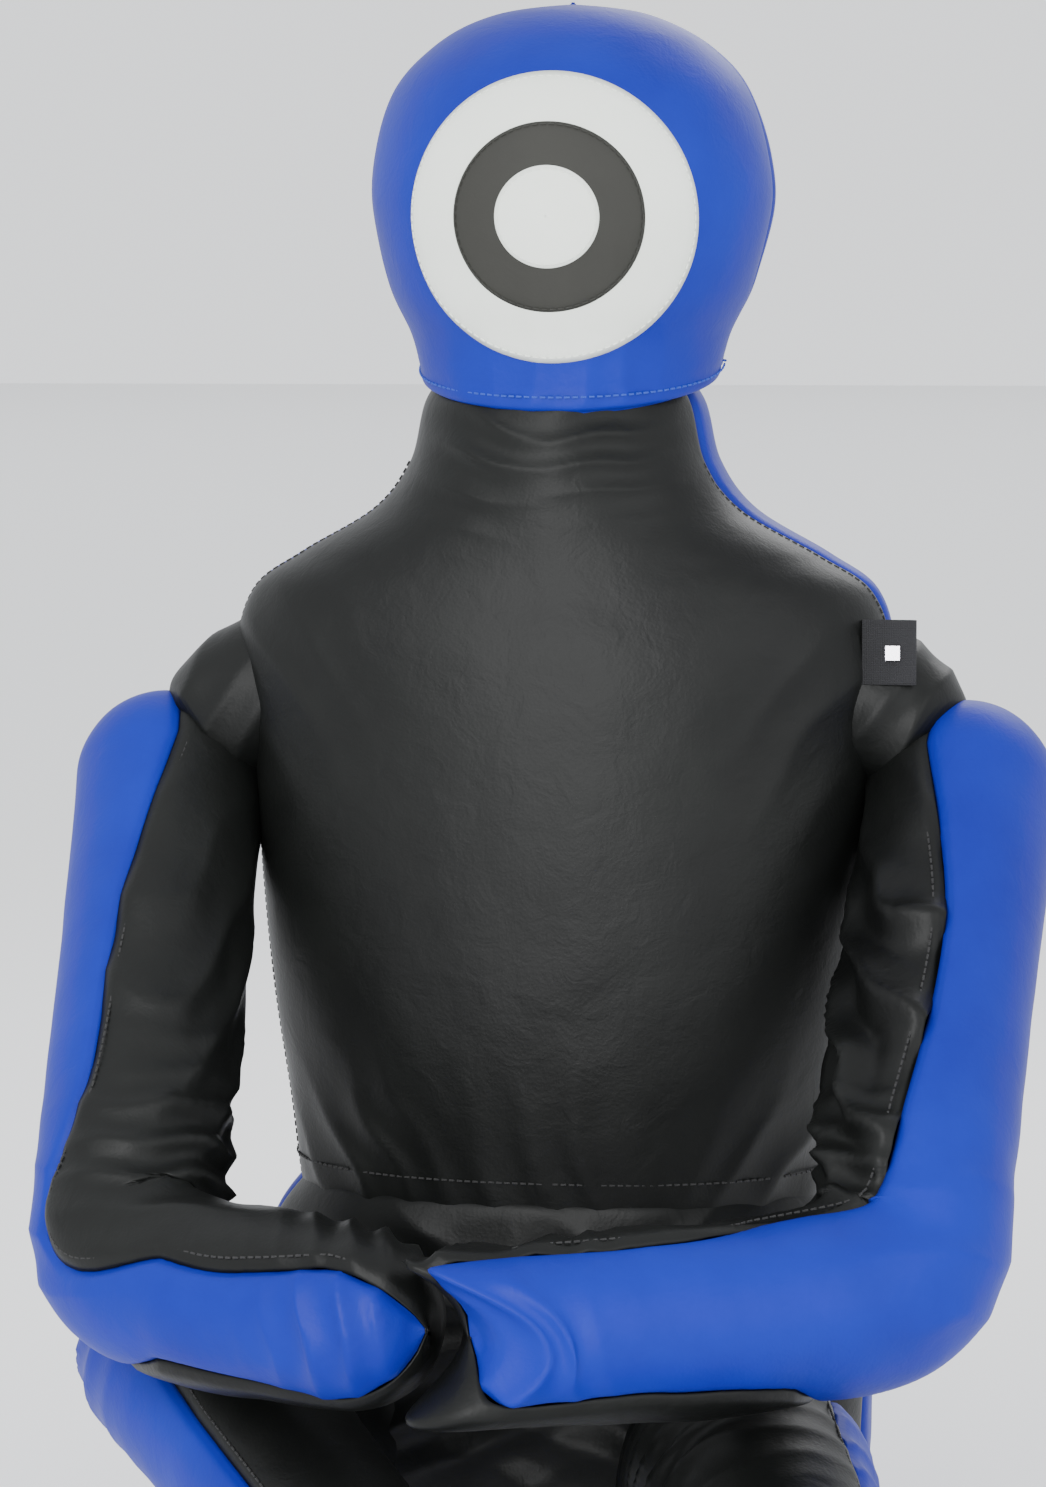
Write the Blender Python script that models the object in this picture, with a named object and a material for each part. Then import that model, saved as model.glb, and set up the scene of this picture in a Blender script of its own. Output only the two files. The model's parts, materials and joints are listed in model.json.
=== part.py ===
"""A seated grappling dummy: stuffed leather panels around separate fillings, jointed like the real one.

Metres, +Z up. The dummy faces -Y and sits on z = 0; its own left is +X (suffix _l).
"""
import math

import bmesh
import bpy
from mathutils import Matrix, Vector

# Driving dimensions
PANEL = 0.003  # leather with its backing
GAP = 0.0004  # between touching pieces
SLACK = 0.0008  # between a panel and the filling behind it
TIP = 0.003  # radius left open at a limb's closed end
JOINT_CLEARANCE = 0.0028
LIMB_SIDES = 16
TRUNK_SIDES = 24
WAIST = Vector((0.0, 0.0, 0.250))
WAIST_GAP = 0.001
LEAN_BACK = 10.0
NECK = Vector((0.0, 0.0, 0.660))
NECK_RADIUS = 0.0875
SOCKET_RADIUS = 0.0915
HEAD_FACE_Z = 0.800
TARGET_STAND_OFF = 0.0030
TARGET_THICK = 0.0012
TARGET_STEPS = 3
SHOULDER = Vector((0.228, -0.015, 0.475))
ELBOW = Vector((0.206, -0.240, 0.240))
HAND_R = Vector((-0.064, -0.312, 0.240))
HAND_L = Vector((0.024, -0.330, 0.240))
HIP = Vector((0.095, 0.0, 0.080))
KNEE_R = Vector((-0.198, -0.135, 0.180))
KNEE_L = Vector((0.130, -0.205, 0.125))
FOOT_R = Vector((0.000, -0.375, 0.046))
FOOT_L = Vector((0.205, -0.465, 0.046))
SHOULDER_RAISE = 60.0
ELBOW_OPEN = 60.0
HIP_SPLAY = 15.0
KNEE_BEND = 20.0
ZIP_TOP = 0.500
ZIP_LENGTH = 0.200
BACK_DEPTH = 0.100
TAB_ROOT = Vector((0.1765, -0.045, 0.561))
TAB_SIZE = (0.026, 0.006, 0.036)
RIVET_SIZE = (0.008, 0.002, 0.008)

# Height, half width, front depth, back depth, roundness of the trunk's cross-sections
TORSO_RINGS = [
    (0.251, 0.151, 0.095, 0.096, 2.3),
    (0.300, 0.157, 0.100, BACK_DEPTH, 2.3),
    (0.360, 0.166, 0.103, BACK_DEPTH, 2.3),
    (0.420, 0.172, 0.104, BACK_DEPTH, 2.4),
    (0.500, 0.177, 0.102, BACK_DEPTH, 2.4),
    (0.555, 0.186, 0.098, 0.098, 2.3),
    (0.590, 0.178, 0.092, 0.094, 2.2),
    (0.612, 0.150, 0.089, 0.091, 2.1),
    (0.636, 0.110, 0.088, 0.088, 2.0),
    (0.660, 0.0875, 0.0875, 0.0875, 2.0),
]
PELVIS_RINGS = [
    (0.000, 0.145, 0.085, 0.112, 2.4),
    (0.030, 0.165, 0.097, 0.125, 2.4),
    (0.100, 0.176, 0.100, 0.126, 2.3),
    (0.180, 0.177, 0.100, 0.114, 2.3),
    (0.225, 0.168, 0.098, 0.102, 2.3),
    (0.249, 0.151, 0.095, 0.096, 2.3),
]
# Radius and height of the head's outline, rim first
HEAD_OUTLINE = [
    (0.0875, 0.694),
    (0.0880, 0.722),
    (0.0950, 0.740),
    (0.1045, 0.768),
    (0.1125, 0.818),
    (0.1010, 0.868),
    (0.0750, 0.898),
    (0.0430, 0.914),
    (0.0060, 0.9205),
]
# Radii of each limb: at its root, middle and end
UPPER_ARM_RADII = (0.052, 0.051, 0.046)
FOREARM_RADII = (0.050, 0.046, 0.042)
THIGH_RADII = (0.064, 0.065, 0.056)
SHIN_RADII = (0.061, 0.052, 0.046)
TARGET_RADII = {"target_outer": (0.0530, 0.0790), "target_ring": (0.0290, 0.0525), "target_centre": (0.0010, 0.0285)}


def clear_scene():
    for found in list(bpy.data.objects):
        bpy.data.objects.remove(found)


def leather(name, colour, roughness, metallic=0.0):
    made = bpy.data.materials.new(name)
    made.use_nodes = True
    shader = made.node_tree.nodes["Principled BSDF"]
    shader.inputs["Base Color"].default_value = (*colour, 1.0)
    shader.inputs["Roughness"].default_value = roughness
    shader.inputs["Metallic"].default_value = metallic
    return made


def add_piece(name, points, faces, finish):
    """One closed piece, with its faces turned outwards and its round sides smooth."""
    mesh = bpy.data.meshes.new(name)
    mesh.from_pydata([tuple(p) for p in points], [], faces)
    shape = bmesh.new()
    shape.from_mesh(mesh)
    bmesh.ops.recalc_face_normals(shape, faces=shape.faces)
    shape.to_mesh(mesh)
    shape.free()
    mesh.shade_smooth()
    mesh.set_sharp_from_angle(angle=math.radians(50))
    piece = bpy.data.objects.new(name, mesh)
    piece.data.materials.append(finish)
    bpy.context.collection.objects.link(piece)
    return piece


def solid_loft(name, rings, finish):
    """A solid through closed rings of the same number of points, capped at both ends."""
    sides = len(rings[0])
    points = [p for ring in rings for p in ring]
    faces = []
    for row in range(len(rings) - 1):
        for k in range(sides):
            after = (k + 1) % sides
            faces.append([row * sides + k, row * sides + after, (row + 1) * sides + after, (row + 1) * sides + k])
    faces.append(list(range(sides)))
    faces.append([(len(rings) - 1) * sides + k for k in range(sides)])
    return add_piece(name, points, faces, finish)


def panel_loft(name, outer, inner, finish):
    """A sewn panel: open arcs outside, the same arcs inside, and a wall round all four edges."""
    count = len(outer[0])
    rows = len(outer)
    points = [p for arc in outer for p in arc] + [p for arc in inner for p in arc]
    back = rows * count
    faces = []
    for row in range(rows - 1):
        for k in range(count - 1):
            a, b = row * count + k, (row + 1) * count + k
            faces.append([a, a + 1, b + 1, b])
            faces.append([back + a, back + b, back + b + 1, back + a + 1])
        for k in (0, count - 1):
            a, b = row * count + k, (row + 1) * count + k
            faces.append([a, b, back + b, back + a])
    for row in (0, rows - 1):
        for k in range(count - 1):
            a = row * count + k
            faces.append([a, a + 1, back + a + 1, back + a])
    return add_piece(name, points, faces, finish)


def tube_shell(name, outer, inner, finish):
    """A hood: closed rings outside and inside, joined at the first ring and closed at the last."""
    sides = len(outer[0])
    rows = len(outer)
    points = [p for ring in outer for p in ring] + [p for ring in inner for p in ring]
    back = rows * sides
    faces = []
    for k in range(sides):
        after = (k + 1) % sides
        for row in range(rows - 1):
            a, b = row * sides, (row + 1) * sides
            faces.append([a + k, a + after, b + after, b + k])
            faces.append([back + a + k, back + b + k, back + b + after, back + a + after])
        faces.append([k, back + k, back + after, after])
    faces.append([(rows - 1) * sides + k for k in range(sides)])
    faces.append([back + (rows - 1) * sides + k for k in range(sides)])
    return add_piece(name, points, faces, finish)


def cutter(name, groups):
    """A guide that clears the path of a moving piece: the hull round all the places it reaches."""
    shape = bmesh.new()
    for point in groups:
        shape.verts.new(point)
    bmesh.ops.convex_hull(shape, input=shape.verts)
    bmesh.ops.delete(shape, geom=[v for v in shape.verts if not v.link_faces], context="VERTS")
    bmesh.ops.recalc_face_normals(shape, faces=shape.faces)
    mesh = bpy.data.meshes.new(name)
    shape.to_mesh(mesh)
    shape.free()
    guide = bpy.data.objects.new(name, mesh)
    guide.hide_render = True
    guide.display_type = "WIRE"
    bpy.context.collection.objects.link(guide)
    return guide


def ball_guide(name, centre, radius):
    """A guide that clears a round socket."""
    shape = bmesh.new()
    bmesh.ops.create_uvsphere(shape, u_segments=28, v_segments=15, radius=radius)
    bmesh.ops.rotate(shape, verts=shape.verts, matrix=Matrix.Rotation(math.radians(3), 3, "Z"))
    bmesh.ops.translate(shape, verts=shape.verts, vec=centre)
    mesh = bpy.data.meshes.new(name)
    shape.to_mesh(mesh)
    shape.free()
    guide = bpy.data.objects.new(name, mesh)
    guide.hide_render = True
    guide.display_type = "WIRE"
    bpy.context.collection.objects.link(guide)
    return guide


def clear_path(pieces, guide):
    for piece in pieces:
        cut = piece.modifiers.new("Clearance", "BOOLEAN")
        cut.operation = "DIFFERENCE"
        cut.solver = "EXACT"
        cut.object = guide


def trunk_ring(row, inset, angles, shift=0.0):
    """Points of one cross-section, from its half width and depths, with a rounded-box outline."""
    height, width, front, back, power = row
    ring = []
    for angle in angles:
        c, s = math.cos(angle), math.sin(angle)
        depth = back if s > 0 else front
        x = math.copysign(abs(c) ** (2 / power), c) * (width - inset)
        y = math.copysign(abs(s) ** (2 / power), s) * (depth - inset)
        ring.append(Vector((x, y + shift, height)))
    return ring


def arc_angles(start, sides, full):
    """Evenly spaced angles: all the way round, or over half a turn with both ends."""
    if full:
        return [start + 2 * math.pi * k / sides for k in range(sides)]
    return [start + 2 * math.pi * k / sides for k in range(sides // 2 + 1)]


def trunk(prefix, rows, finishes, fill_rows):
    """Front and back panels round a filling, from rows of cross-sections."""
    pieces = []
    for side, start, shift in (("front", math.pi, -GAP / 2), ("back", 0.0, GAP / 2)):
        angles = arc_angles(start, TRUNK_SIDES, False)
        outer = [trunk_ring(row, 0.0, angles, shift) for row in rows]
        inner = [trunk_ring(row, PANEL, angles, shift) for row in rows]
        pieces.append(panel_loft(f"{prefix}_{side}_panel", outer, inner, finishes[side]))
    angles = arc_angles(0.0, TRUNK_SIDES, True)
    rings = [trunk_ring(row, PANEL + SLACK, angles) for row in fill_rows]
    pieces.append(solid_loft(f"{prefix}_stuffing", rings, finishes["fill"]))
    return pieces


def dome_rows(centre, radius, elevations):
    """Cross-sections of the ball that tops the neck."""
    rows = []
    for degrees in elevations:
        angle = math.radians(degrees)
        size = radius * math.cos(angle)
        rows.append((centre.z + radius * math.sin(angle), size, size, size, 2.0))
    return rows


def limb_stations(length, radii, inset):
    """Distance along the limb and radius there: a ball, the tube, and a ball."""
    root, middle, end = (radius - inset for radius in radii)
    stations = []
    for degrees in (-88, -55, -22):
        angle = math.radians(degrees)
        stations.append((root * math.sin(angle), root * math.cos(angle)))
    stations.append((length * 0.5, middle))
    for degrees in (12, 50, 88):
        angle = math.radians(degrees)
        stations.append((length + end * math.sin(angle), end * math.cos(angle)))
    return [(along, max(radius, TIP)) for along, radius in stations]


def limb_frame(start, end, inward):
    """The limb's direction, and two directions across it, the first towards its inner panel."""
    along = (end - start).normalized()
    across = (inward - along * inward.dot(along)).normalized()
    return along, across, along.cross(across)


def limb_ring(start, axes, station, angles, shift, floor):
    along, across, side = axes
    distance, radius = station
    centre = start + along * distance + across * shift
    ring = [centre + across * (math.cos(a) * radius) + side * (math.sin(a) * radius) for a in angles]
    for point in ring:
        point.z = max(point.z, floor)
    return ring


def limb(prefix, suffix, start, end, radii, inward, finishes):
    """A stuffed limb: inner and outer panels round a filling, flat where it rests on the floor."""
    axes = limb_frame(start, end, inward)
    length = (end - start).length
    outside = limb_stations(length, radii, 0.0)
    lining = limb_stations(length, radii, PANEL)
    core = limb_stations(length, radii, PANEL + SLACK)
    pieces = []
    halves = (("inner", -math.pi / 2, GAP / 2), ("outer", math.pi / 2, -GAP / 2))
    for side, first, shift in halves:
        angles = arc_angles(first, LIMB_SIDES, False)
        outer = [limb_ring(start, axes, s, angles, shift, 0.0) for s in outside]
        inner = [limb_ring(start, axes, s, angles, shift, PANEL) for s in lining]
        pieces.append(panel_loft(f"{prefix}_{side}_panel_{suffix}", outer, inner, finishes[side]))
    angles = arc_angles(0.0, LIMB_SIDES, True)
    rings = [limb_ring(start, axes, s, angles, 0.0, PANEL + SLACK) for s in core]
    pieces.append(solid_loft(f"{prefix}_stuffing_{suffix}", rings, finishes["fill"]))
    return pieces


def reach_points(start, end, radii, turns, drop=0.0):
    """Points round a limb, with clearance, at each of its turns about its root."""
    axes = limb_frame(start, end, Vector((0.31, 0.17, 0.93)))
    widened = tuple(radius + JOINT_CLEARANCE for radius in radii)
    angles = arc_angles(0.0, LIMB_SIDES, True)
    points = []
    for turn in turns:
        place = Matrix.Translation(start) @ turn @ Matrix.Translation(-start)
        for station in limb_stations((end - start).length, widened, 0.0):
            for point in limb_ring(start, axes, station, angles, 0.0, -1.0):
                moved = place @ point
                points.append(moved)
                if drop:
                    points.append(moved - Vector((0, 0, drop)))
    return points


def turns_about(axis, degrees, steps=3):
    return [Matrix.Rotation(math.radians(degrees * k / steps), 4, axis) for k in range(steps + 1)]


def mirrored(point, sign):
    return Vector((point.x * sign, point.y, point.z))


def head_surface(x, z, stand_off):
    """The y of the head's front at a place on the target."""
    for (r0, z0), (r1, z1) in zip(HEAD_OUTLINE, HEAD_OUTLINE[1:]):
        if z0 <= z <= z1:
            radius = r0 + (r1 - r0) * (z - z0) / (z1 - z0) + stand_off
            return -math.sqrt(radius * radius - x * x)
    return 0.0


def target_piece(name, inner_radius, outer_radius, finish):
    """One sewn-on ring of the target, following the front of the head."""
    sides = 24
    across = [inner_radius + (outer_radius - inner_radius) * k / TARGET_STEPS for k in range(TARGET_STEPS + 1)]
    outside = [(radius, TARGET_STAND_OFF + TARGET_THICK) for radius in across]
    inside = [(radius, TARGET_STAND_OFF) for radius in reversed(across)]
    loops = []
    for radius, stand_off in outside + inside:
        loop = []
        for k in range(sides):
            angle = 2 * math.pi * k / sides
            x, z = radius * math.cos(angle), HEAD_FACE_Z + radius * math.sin(angle)
            loop.append(Vector((x, head_surface(x, z, stand_off), z)))
        loops.append(loop)
    points = [p for loop in loops for p in loop]
    faces = []
    for row in range(len(loops)):
        following = (row + 1) % len(loops)
        for k in range(sides):
            after = (k + 1) % sides
            faces.append([row * sides + k, row * sides + after, following * sides + after, following * sides + k])
    return add_piece(name, points, faces, finish)


def head(finishes):
    """The hood, its ball of filling, and the three pieces of the target."""
    angles = arc_angles(0.0, TRUNK_SIDES, True)

    def rings(inset, rows):
        return [[Vector(((r - inset) * math.cos(a), (r - inset) * math.sin(a), z)) for a in angles] for r, z in rows]

    lining = [(r, z - PANEL * k / (len(HEAD_OUTLINE) - 1)) for k, (r, z) in enumerate(HEAD_OUTLINE)]
    hood = tube_shell("head_cover", rings(0.0, HEAD_OUTLINE), rings(PANEL, lining), finishes["back"])
    core = [(r, z - (PANEL + SLACK) * k / len(lining)) for k, (r, z) in enumerate(HEAD_OUTLINE)]
    filling = solid_loft("head_stuffing", rings(PANEL + SLACK, core), finishes["fill"])
    clear_path([hood, filling], ball_guide("neck_clearance", NECK, SOCKET_RADIUS))
    for name, (inner, outer) in TARGET_RADII.items():
        target_piece(name, inner, outer, finishes["dark"] if name == "target_ring" else finishes["white"])


def box_piece(name, centre, size, finish):
    low = [centre[k] - size[k] / 2 for k in range(3)]
    high = [centre[k] + size[k] / 2 for k in range(3)]
    corners = [(x, y, z) for z in (low[2], high[2]) for x, y in
               ((low[0], low[1]), (high[0], low[1]), (high[0], high[1]), (low[0], high[1]))]
    faces = [[0, 1, 2, 3], [4, 5, 6, 7], [0, 1, 5, 4], [1, 2, 6, 5], [2, 3, 7, 6], [3, 0, 4, 7]]
    return add_piece(name, corners, faces, finish)


def back_zip(finishes):
    """The filling opening in the middle of the back: its tape, slider and pull."""
    tape_y = BACK_DEPTH + 0.0018
    box_piece("zip_tape", (0, tape_y, ZIP_TOP - ZIP_LENGTH / 2), (0.024, 0.0016, ZIP_LENGTH), finishes["dark"])
    slider_y = tape_y + 0.0012 + 0.0030
    slider_z = ZIP_TOP - 0.010
    box_piece("zip_slider", (0, slider_y, slider_z), (0.009, 0.005, 0.012), finishes["metal"])
    box_piece("zip_pull", (0, slider_y + 0.0040, slider_z - 0.012), (0.006, 0.002, 0.026), finishes["metal"])


def shoulder_tab(finishes):
    """A folded webbing tab on the left shoulder, with its rivet."""
    tab = TAB_ROOT + Vector((TAB_SIZE[0] / 2, 0.0, 0.0))
    box_piece("shoulder_tab", tab, TAB_SIZE, finishes["dark"])
    rivet = tab - Vector((0, TAB_SIZE[1] / 2 + GAP + RIVET_SIZE[1] / 2, 0))
    box_piece("tab_rivet", rivet, RIVET_SIZE, finishes["metal"])


def build():
    clear_scene()
    black = leather("black_leather", (0.012, 0.012, 0.012), 0.42)
    blue = leather("blue_leather", (0.020, 0.075, 0.58), 0.45)
    white = leather("target_white", (0.80, 0.84, 0.78), 0.60)
    stuffing = leather("textile_stuffing", (0.45, 0.42, 0.38), 0.95)
    webbing = leather("black_webbing", (0.015, 0.015, 0.015), 0.85)
    metal = leather("zip_metal", (0.55, 0.55, 0.57), 0.30, 1.0)
    finishes = {
        "front": black, "back": blue, "inner": black, "outer": blue,
        "fill": stuffing, "white": white, "dark": webbing, "metal": metal,
    }
    dome = dome_rows(NECK, NECK_RADIUS, (25, 50))
    whole_dome = dome_rows(NECK, NECK_RADIUS, (25, 50, 75))
    torso = trunk("torso", TORSO_RINGS + dome, finishes, TORSO_RINGS[:-1])
    neck_rows = [(TORSO_RINGS[-2][0] + GAP, *TORSO_RINGS[-2][1:])] + TORSO_RINGS[-1:] + whole_dome
    neck_rings = [trunk_ring(row, PANEL + SLACK, arc_angles(0.0, TRUNK_SIDES, True)) for row in neck_rows]
    solid_loft("neck_stuffing", neck_rings, stuffing)
    pelvis = trunk("pelvis", PELVIS_RINGS, finishes, PELVIS_RINGS)
    head(finishes)

    below_waist = [Vector((x, y, z)) for x in (-0.3, 0.3) for y in (-0.3, 0.3) for z in (0.1, WAIST.z + WAIST_GAP / 2)]
    tilt = Matrix.Translation(WAIST) @ Matrix.Rotation(math.radians(LEAN_BACK), 4, "X") @ Matrix.Translation(-WAIST)
    clear_path(torso, cutter("waist_clearance", [tilt @ p for p in below_waist]))

    for suffix, sign in (("r", -1), ("l", 1)):
        shoulder, elbow, hip = mirrored(SHOULDER, sign), mirrored(ELBOW, sign), mirrored(HIP, sign)
        hand = HAND_R if sign < 0 else HAND_L
        knee, foot = (KNEE_R, FOOT_R) if sign < 0 else (KNEE_L, FOOT_L)
        upper_arm = limb("upper_arm", suffix, shoulder, elbow, UPPER_ARM_RADII, Vector((-sign, -0.4, 0)), finishes)
        limb("forearm", suffix, elbow, hand, FOREARM_RADII, Vector((0, 1, 0.15)), finishes)
        thigh = limb("thigh", suffix, hip, knee, THIGH_RADII, Vector((-sign * 0.8, 0, 0.6)), finishes)
        limb("shin", suffix, knee, foot, SHIN_RADII, Vector((-sign * 0.5, 0.5, 0.7)), finishes)
        raise_arm = turns_about(Vector((-1, 0, 0)), SHOULDER_RAISE)
        clear_path(torso, cutter(f"arm_path_{suffix}", reach_points(shoulder, elbow, UPPER_ARM_RADII, raise_arm)))
        open_arm = turns_about(Vector((0, 0, sign)), ELBOW_OPEN)
        clear_path(upper_arm, cutter(f"forearm_path_{suffix}", reach_points(elbow, hand, FOREARM_RADII, open_arm)))
        splay = turns_about(Vector((0, 0, sign)), HIP_SPLAY)
        clear_path(pelvis, cutter(f"thigh_path_{suffix}", reach_points(hip, knee, THIGH_RADII, splay, 0.12)))
        bend = turns_about((knee - hip).cross(foot - knee).normalized(), KNEE_BEND)
        clear_path(thigh, cutter(f"shin_path_{suffix}", reach_points(knee, foot, SHIN_RADII, bend)))
    back_zip(finishes)
    shoulder_tab(finishes)


build()
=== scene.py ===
"""The looks of a seated grappling dummy: stuffed leather skins, a hooded target head, zip and webbing.

Lengths are in metres. The dummy faces -Y, and its own left is +X (suffix _l).
"""
import json
import math

import bmesh
import bpy
import numpy as np
from mathutils import Matrix, Vector, noise
from mathutils.bvhtree import BVHTree


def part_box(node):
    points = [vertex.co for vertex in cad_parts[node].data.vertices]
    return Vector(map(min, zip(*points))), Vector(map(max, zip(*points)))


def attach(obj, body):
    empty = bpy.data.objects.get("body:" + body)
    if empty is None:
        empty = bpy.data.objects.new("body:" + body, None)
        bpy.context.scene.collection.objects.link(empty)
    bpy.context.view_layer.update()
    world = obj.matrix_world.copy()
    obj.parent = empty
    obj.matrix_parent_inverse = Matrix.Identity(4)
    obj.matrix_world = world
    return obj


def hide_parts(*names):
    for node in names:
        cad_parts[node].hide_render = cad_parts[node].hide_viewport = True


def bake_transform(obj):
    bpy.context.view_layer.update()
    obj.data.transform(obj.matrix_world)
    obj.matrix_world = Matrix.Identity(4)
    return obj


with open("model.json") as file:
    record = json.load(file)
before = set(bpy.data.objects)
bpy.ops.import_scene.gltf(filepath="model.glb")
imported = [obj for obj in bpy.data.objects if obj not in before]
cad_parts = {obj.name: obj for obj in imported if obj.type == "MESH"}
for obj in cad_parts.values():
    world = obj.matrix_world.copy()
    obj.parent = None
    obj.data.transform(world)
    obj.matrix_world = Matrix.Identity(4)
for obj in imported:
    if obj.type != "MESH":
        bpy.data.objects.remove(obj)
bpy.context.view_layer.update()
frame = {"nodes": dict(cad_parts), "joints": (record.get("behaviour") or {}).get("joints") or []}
JOINTS = {joint["name"]: joint for joint in frame["joints"]}
SIDES = (("r", -1), ("l", 1))


def joint_place(name):
    """Where a hinge is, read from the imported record."""
    return Vector(JOINTS[name]["pos_m"])


# ---------------------------------------------------------------- driving dimensions

# Leather: its thickness, the dip of a seam, the swell beside it, and how the mesh crowds at a seam
SKIN = 0.0014
SEAM_DIP = 0.0030
SEAM_WIDTH = 0.0035
PUFF = 0.0016
PUFF_REACH = 0.014
EDGE_CROWDING = 0.06
FLOOR_CLEAR = 0.0012

# Rows and columns of each panel's mesh, and the height of the filling's lumps under it
PANELS = {
    "torso_front": (240, 130, 0.0010),
    "torso_back": (200, 120, 0.0004),
    "hip_front": (130, 120, 0.0016),
    "hip_back": (120, 110, 0.0014),
    "hood": (150, 110, 0.0014),
    "limb_inner": (240, 84, 0.0018),
    "limb_outer": (240, 84, 0.0016),
    "yoke": (80, 96, 0.0010),
}

# Thread: the stitch spacing, the thickness, and how far each row stands off its surface
STITCH = 0.0045
STITCH_SHARE = 0.68
THREAD_RADIUS = 0.0007
FINE_THREAD_RADIUS = 0.0005
THREAD_LIFT = {"torso": 0.0008, "waist": 0.0016, "hood": 0.0018, "limb": 0.0007}

# Trunk tables: height, half width, front depth, back depth, roundness
TORSO = [
    (0.243, 0.146, 0.088, 0.090, 2.2),
    (0.252, 0.151, 0.095, 0.096, 2.3),
    (0.300, 0.157, 0.101, 0.100, 2.3),
    (0.360, 0.166, 0.104, 0.100, 2.3),
    (0.420, 0.172, 0.105, 0.100, 2.3),
    (0.500, 0.178, 0.103, 0.100, 2.3),
    (0.555, 0.187, 0.099, 0.098, 2.3),
    (0.592, 0.178, 0.092, 0.094, 2.2),
    (0.613, 0.150, 0.089, 0.091, 2.1),
    (0.638, 0.108, 0.088, 0.088, 2.0),
    (0.665, 0.0875, 0.0880, 0.0875, 2.0),
    (0.700, 0.0780, 0.0790, 0.0780, 2.0),
    (0.722, 0.0600, 0.0600, 0.0600, 2.0),
]
PELVIS = [
    (0.0015, 0.100, 0.060, 0.080, 2.2),
    (0.002, 0.140, 0.082, 0.108, 2.4),
    (0.030, 0.165, 0.098, 0.125, 2.4),
    (0.100, 0.177, 0.103, 0.126, 2.3),
    (0.180, 0.178, 0.104, 0.114, 2.3),
    (0.225, 0.168, 0.101, 0.102, 2.3),
    (0.252, 0.151, 0.096, 0.096, 2.3),
    (0.257, 0.143, 0.086, 0.088, 2.2),
]
HIP_WRAP = math.radians(9)
# How far, in degrees, the torso's back panel comes round, and how much farther beside the neck
BACK_WRAP = 4.0
NECK_WRAP = {-1: 3.0, 1: 12.0}
NECK_WRAP_START = 0.55
NECK_WRAP_LENGTH = 0.25
SEAM_INSET_DEGREES = 5
WAIST_SEAM_SHARE = 0.115

# Head: the hood's radius and height from rim to crown, its lower rim at the chin, its shift to the left
HEAD = [
    (0.0790, 0.722),
    (0.0840, 0.719),
    (0.0858, 0.726),
    (0.0905, 0.741),
    (0.1030, 0.768),
    (0.1125, 0.818),
    (0.1020, 0.868),
    (0.0780, 0.897),
    (0.0440, 0.9145),
    (0.0020, 0.9210),
]
CHIN_DROP = 0.029
CHIN_ROUNDNESS = 0.7
CHIN_FADE = 2.2
HEAD_SET = 0.0045
HOOD_RIM_SHARE = 0.17

# Target: each disc's radius, height off the hood, and its turned edge
TARGET_Z = (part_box("target_outer")[0][2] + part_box("target_outer")[1][2]) / 2
CENTRE_RADIUS, RING_RADIUS, OUTER_RADIUS = 0.0285, 0.0525, 0.0790
OUTER_LIFT, RING_LIFT, CENTRE_LIFT = 0.0026, 0.0038, 0.0050
DISC_THICKNESS = 0.0008
DISC_PINHOLE = 0.0001
DISC_RINGS = 22
DISC_SEGMENTS = 144
DISC_EDGE_DROP = 0.0022
DISC_EDGE_REACH = 0.0012
DISC_STITCH_INSET = 0.0028
IN_FRONT_Y = -0.5
FACE_Y = -0.08

# Limbs: ends, radii along the centre line, and the half angle that the inner panel covers at each
HANDS = {"r": Vector((-0.066, -0.312, 0.240)), "l": Vector((0.026, -0.330, 0.240))}
FEET = {"r": Vector((0.000, -0.375, 0.046)), "l": Vector((0.205, -0.465, 0.046))}
ARM_RADII = (0.052, 0.051, 0.050, 0.050, 0.047, 0.0465, 0.044)
ARM_COVERS = {"r": (58, 86, 98, 130, 142, 138, 124), "l": (50, 78, 66, 52, 110, 124, 116)}
ARM_FOLD_DEPTH = {"r": 0.0022, "l": 0.0080}
HAND_LEAN = {"r": 0.10, "l": -0.30}
LEG_RADII = (0.066, 0.067, 0.062, 0.054, 0.049, 0.0475)
LEG_COVERS = (92, 92, 92, 92, 90, 88)
KNEE_SET_BACK = 0.012
BEND_REACH = 0.045
END_CLOSURE = 0.02
LIMB_STITCH_INSET = 0.0065 / 0.05

# The left hand's end
HAND_RADIUS = ARM_RADII[-1]
HAND_EAR = 0.022
EAR_REACH = 0.056
EAR_HOLLOW = 0.012

# Shoulder yokes: one panel all round, so the cover angle has no effect
YOKE_ROOT = (0.150, -0.004, 0.545)
YOKE_RADII = (0.040, 0.041, 0.034, 0.021)
YOKE_COVER = 90

# Zip and tab
TOOTH_PITCH = 0.0026
TOOTH_SHIFT = 0.0011
TOOTH_SIZE = (0.0030, 0.0012, 0.0016)
TOOTH_BEVEL = 0.0003
TOOTH_LIFT = 0.0002
ZIP_STITCH_X = 0.0095
ZIP_STITCH_END = 0.004
ZIP_STITCH_LIFT = 0.0003
TAB_SEWN_IN = 0.004
TAB_THICKNESS = 0.0015
TAB_STEPS = 24

# Room and camera
FLOOR_SIDE = 40.0
FLOOR_TOP = -0.0002
FLOOR_THICKNESS = 0.001
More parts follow.
